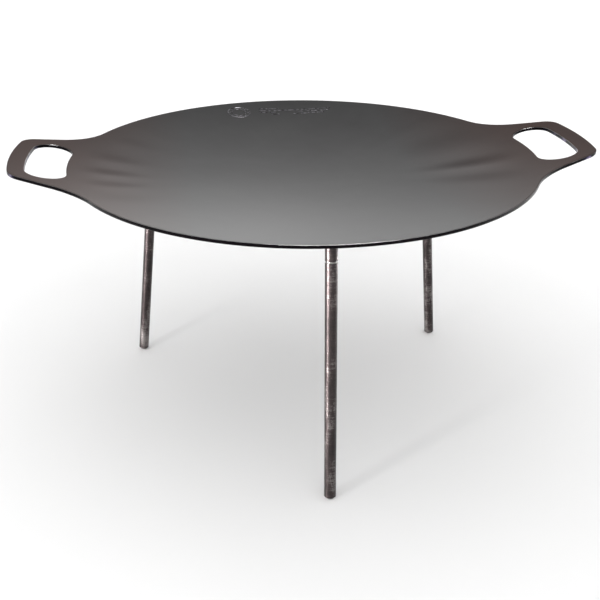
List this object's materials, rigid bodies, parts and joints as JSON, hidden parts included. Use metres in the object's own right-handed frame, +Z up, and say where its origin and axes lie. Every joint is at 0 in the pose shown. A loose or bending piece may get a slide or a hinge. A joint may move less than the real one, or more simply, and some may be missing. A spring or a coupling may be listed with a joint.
{
  "type": "griddle pan",
  "caption": "Shallow dished steel fire pan and griddle with open side handles, on splayed round-bar legs that screw into welded stubs.",
  "frame": {"origin": "on the ground under the middle of the dish", "axes": "+Z up, +X through the right-hand handle, -Y towards the front leg"},
  "size_m": [0.72, 0.58, 0.3477],
  "materials": {
    "pan_steel": "hot-rolled sheet, lightly oiled, satin",
    "bar_steel": "dark rolled bar, oiled, with bright machined chamfers",
    "weld": "rippled weld bead with heat tint",
    "stud_steel": "machined thread"
  },
  "bodies": {
    "pan": {"pan": "pan_steel", "stub_front": "bar_steel", "stub_rear_right": "bar_steel", "stub_rear_left": "bar_steel", "weld_front": "weld", "weld_rear_right": "weld", "weld_rear_left": "weld"},
    "stud_front": {"stud_front": "stud_steel"},
    "leg_front": {"leg_front": "bar_steel"},
    "stud_rear_right": {"stud_rear_right": "stud_steel"},
    "leg_rear_right": {"leg_rear_right": "bar_steel"},
    "stud_rear_left": {"stud_rear_left": "stud_steel"},
    "leg_rear_left": {"leg_rear_left": "bar_steel"}
  },
  "joints": [
    {"name": "unscrew_front", "type": "slide", "parent": "pan", "child": "stud_front", "axis": [0, -0.1219, -0.9925], "range_m": [0, 0.015]},
    {"name": "unscrew_turn_front", "type": "hinge", "parent": "stud_front", "child": "leg_front", "pos_m": [0, -0.218, 0.31624], "axis": [0, -0.1219, -0.9925], "range_deg": [0, 4320]},
    {"name": "unscrew_rear_right", "type": "slide", "parent": "pan", "child": "stud_rear_right", "axis": [0.1055, 0.0609, -0.9925], "range_m": [0, 0.015]},
    {"name": "unscrew_turn_rear_right", "type": "hinge", "parent": "stud_rear_right", "child": "leg_rear_right", "pos_m": [0.18879, 0.109, 0.31624], "axis": [0.1055, 0.0609, -0.9925], "range_deg": [0, 4320]},
    {"name": "unscrew_rear_left", "type": "slide", "parent": "pan", "child": "stud_rear_left", "axis": [-0.1055, 0.0609, -0.9925], "range_m": [0, 0.015]},
    {"name": "unscrew_turn_rear_left", "type": "hinge", "parent": "stud_rear_left", "child": "leg_rear_left", "pos_m": [-0.18879, 0.109, 0.31624], "axis": [-0.1055, 0.0609, -0.9925], "range_deg": [0, 4320]}
  ],
  "couplings": [
    {"joint": "unscrew_turn_front", "follows": "unscrew_front", "rad_per_m": 5026.5},
    {"joint": "unscrew_turn_rear_right", "follows": "unscrew_rear_right", "rad_per_m": 5026.5},
    {"joint": "unscrew_turn_rear_left", "follows": "unscrew_rear_left", "rad_per_m": 5026.5}
  ]
}
